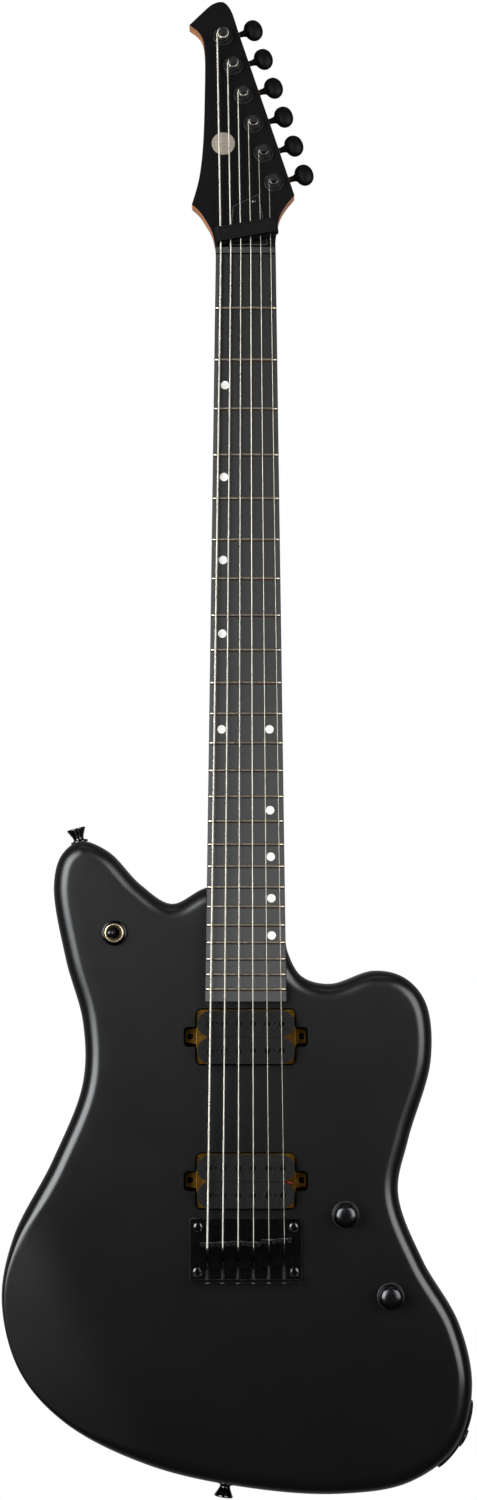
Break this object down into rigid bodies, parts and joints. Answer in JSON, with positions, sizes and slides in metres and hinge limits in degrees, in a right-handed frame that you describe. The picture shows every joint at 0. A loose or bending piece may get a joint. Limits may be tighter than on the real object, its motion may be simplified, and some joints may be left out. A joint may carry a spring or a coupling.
{
  "type": "electric guitar",
  "caption": "Offset solid-body electric guitar in satin black, with a long bolt-on neck, tilted headstock, in-line tuners, open-coil pickups, fixed bridge, turning knobs and a toggle.",
  "frame": {"origin": "where a hanger's yoke takes the neck under the headstock: on the neck's centre line, in the plane of the body's front face, 16 mm above the nut's fretboard-side face", "axes": "+Z along the neck towards the headstock's tip, -Y out of the body's front face, +X towards the treble side (the player's floor side, right in a front view)"},
  "size_m": [0.3293, 0.0653, 1.0553],
  "materials": {
    "satin_black_body": "satin black lacquer over wood",
    "roasted_maple": "satin roasted maple, headstock face painted matte black",
    "ebony_and_nickel": "oiled dark ebony with polished nickel frets and pearl dots",
    "graphite": "matte graphite",
    "black_hardware": "gloss black plating",
    "black_plastic": "semi-gloss black plastic",
    "steel": "bright nickel-plated steel",
    "brass": "satin brass",
    "rubber": "matte black rubber"
  },
  "bodies": {
    "guitar": {"body": "satin_black_body", "neck": "roasted_maple", "fretboard": "ebony_and_nickel", "nut": "graphite", "truss_rod": "steel", "truss_rod_cover": "black_plastic", "neck_plate": "black_hardware", "neck_screw_1": "black_hardware", "neck_screw_2": "black_hardware", "neck_screw_3": "black_hardware", "neck_screw_4": "black_hardware", "string_1": "steel", "string_2": "steel", "string_3": "steel", "string_4": "steel", "string_5": "steel", "string_6": "steel", "tuner_housing_1": "black_hardware", "tuner_housing_2": "black_hardware", "tuner_housing_3": "black_hardware", "tuner_housing_4": "black_hardware", "tuner_housing_5": "black_hardware", "tuner_housing_6": "black_hardware", "neck_pickup_baseplate": "brass", "neck_pickup_bobbins": "black_plastic", "bridge_pickup_baseplate": "brass", "bridge_pickup_bobbins": "black_plastic", "bridge_plate": "black_hardware", "string_ferrule_block": "black_hardware", "volume_pot": "steel", "tone_pot": "steel", "switch_body": "black_hardware", "jack_plate": "black_plastic", "jack_socket": "black_hardware", "upper_strap_button": "black_hardware", "lower_strap_button": "black_hardware", "control_cavity_cover": "black_plastic", "switch_cavity_cover": "black_plastic", "string_damper": "rubber"},
    "tuner_button_1": {"tuner_button_1": "black_hardware"},
    "tuner_post_1": {"tuner_post_1": "black_hardware"},
    "tuner_button_2": {"tuner_button_2": "black_hardware"},
    "tuner_post_2": {"tuner_post_2": "black_hardware"},
    "tuner_button_3": {"tuner_button_3": "black_hardware"},
    "tuner_post_3": {"tuner_post_3": "black_hardware"},
    "tuner_button_4": {"tuner_button_4": "black_hardware"},
    "tuner_post_4": {"tuner_post_4": "black_hardware"},
    "tuner_button_5": {"tuner_button_5": "black_hardware"},
    "tuner_post_5": {"tuner_post_5": "black_hardware"},
    "tuner_button_6": {"tuner_button_6": "black_hardware"},
    "tuner_post_6": {"tuner_post_6": "black_hardware"},
    "volume_knob": {"volume_knob": "black_plastic"},
    "tone_knob": {"tone_knob": "black_plastic"},
    "switch_lever": {"switch_lever": "black_plastic"},
    "saddle_1": {"saddle_1": "black_hardware"},
    "saddle_2": {"saddle_2": "black_hardware"},
    "saddle_3": {"saddle_3": "black_hardware"},
    "saddle_4": {"saddle_4": "black_hardware"},
    "saddle_5": {"saddle_5": "black_hardware"},
    "saddle_6": {"saddle_6": "black_hardware"}
  },
  "joints": [
    {"name": "tuner_button_1_turn", "type": "hinge", "parent": "guitar", "child": "tuner_button_1", "pos_m": [-0.01755, 0.04199, 0.144], "axis": [0.9489, 0.0494, 0.3118], "continuous": true},
    {"name": "tuner_post_1_turn", "type": "hinge", "parent": "guitar", "child": "tuner_post_1", "pos_m": [-0.0161, 0.02156, 0.14282], "axis": [0, -0.9877, 0.1564], "continuous": true},
    {"name": "tuner_button_2_turn", "type": "hinge", "parent": "guitar", "child": "tuner_button_2", "pos_m": [-0.01037, 0.03861, 0.12269], "axis": [0.9489, 0.0494, 0.3118], "continuous": true},
    {"name": "tuner_post_2_turn", "type": "hinge", "parent": "guitar", "child": "tuner_post_2", "pos_m": [-0.00892, 0.01818, 0.12151], "axis": [0, -0.9877, 0.1564], "continuous": true},
    {"name": "tuner_button_3_turn", "type": "hinge", "parent": "guitar", "child": "tuner_button_3", "pos_m": [-0.00319, 0.03524, 0.10137], "axis": [0.9489, 0.0494, 0.3118], "continuous": true},
    {"name": "tuner_post_3_turn", "type": "hinge", "parent": "guitar", "child": "tuner_post_3", "pos_m": [-0.00174, 0.0148, 0.10019], "axis": [0, -0.9877, 0.1564], "continuous": true},
    {"name": "tuner_button_4_turn", "type": "hinge", "parent": "guitar", "child": "tuner_button_4", "pos_m": [0.00399, 0.03186, 0.08006], "axis": [0.9489, 0.0494, 0.3118], "continuous": true},
    {"name": "tuner_post_4_turn", "type": "hinge", "parent": "guitar", "child": "tuner_post_4", "pos_m": [0.00544, 0.01143, 0.07888], "axis": [0, -0.9877, 0.1564], "continuous": true},
    {"name": "tuner_button_5_turn", "type": "hinge", "parent": "guitar", "child": "tuner_button_5", "pos_m": [0.01117, 0.02849, 0.05874], "axis": [0.9489, 0.0494, 0.3118], "continuous": true},
    {"name": "tuner_post_5_turn", "type": "hinge", "parent": "guitar", "child": "tuner_post_5", "pos_m": [0.01262, 0.00805, 0.05756], "axis": [0, -0.9877, 0.1564], "continuous": true},
    {"name": "tuner_button_6_turn", "type": "hinge", "parent": "guitar", "child": "tuner_button_6", "pos_m": [0.01835, 0.02511, 0.03743], "axis": [0.9489, 0.0494, 0.3118], "continuous": true},
    {"name": "tuner_post_6_turn", "type": "hinge", "parent": "guitar", "child": "tuner_post_6", "pos_m": [0.0198, 0.00468, 0.03625], "axis": [0, -0.9877, 0.1564], "continuous": true},
    {"name": "volume_knob_turn", "type": "hinge", "parent": "guitar", "child": "volume_knob", "pos_m": [0.0695, 0, -0.6873], "axis": [0, -1, 0], "range_deg": [-150, 150]},
    {"name": "tone_knob_turn", "type": "hinge", "parent": "guitar", "child": "tone_knob", "pos_m": [0.1008, 0, -0.7438], "axis": [0, -1, 0], "range_deg": [-150, 150]},
    {"name": "switch_lever_throw", "type": "hinge", "parent": "guitar", "child": "switch_lever", "pos_m": [-0.0919, 0.004, -0.4913], "axis": [0, 0, 1], "range_deg": [0, 14]},
    {"name": "saddle_1_slide", "type": "slide", "parent": "guitar", "child": "saddle_1", "axis": [0, 0, 1], "range_m": [-0.0025, 0.0025]},
    {"name": "saddle_2_slide", "type": "slide", "parent": "guitar", "child": "saddle_2", "axis": [0, 0, 1], "range_m": [-0.0025, 0.0025]},
    {"name": "saddle_3_slide", "type": "slide", "parent": "guitar", "child": "saddle_3", "axis": [0, 0, 1], "range_m": [-0.0025, 0.0025]},
    {"name": "saddle_4_slide", "type": "slide", "parent": "guitar", "child": "saddle_4", "axis": [0, 0, 1], "range_m": [-0.0025, 0.0025]},
    {"name": "saddle_5_slide", "type": "slide", "parent": "guitar", "child": "saddle_5", "axis": [0, 0, 1], "range_m": [-0.0025, 0.0025]},
    {"name": "saddle_6_slide", "type": "slide", "parent": "guitar", "child": "saddle_6", "axis": [0, 0, 1], "range_m": [-0.0025, 0.0025]}
  ],
  "couplings": [
    {"joint": "tuner_post_1_turn", "follows": "tuner_button_1_turn", "ratio": 0.055556},
    {"joint": "tuner_post_2_turn", "follows": "tuner_button_2_turn", "ratio": 0.055556},
    {"joint": "tuner_post_3_turn", "follows": "tuner_button_3_turn", "ratio": 0.055556},
    {"joint": "tuner_post_4_turn", "follows": "tuner_button_4_turn", "ratio": 0.055556},
    {"joint": "tuner_post_5_turn", "follows": "tuner_button_5_turn", "ratio": 0.055556},
    {"joint": "tuner_post_6_turn", "follows": "tuner_button_6_turn", "ratio": 0.055556}
  ]
}
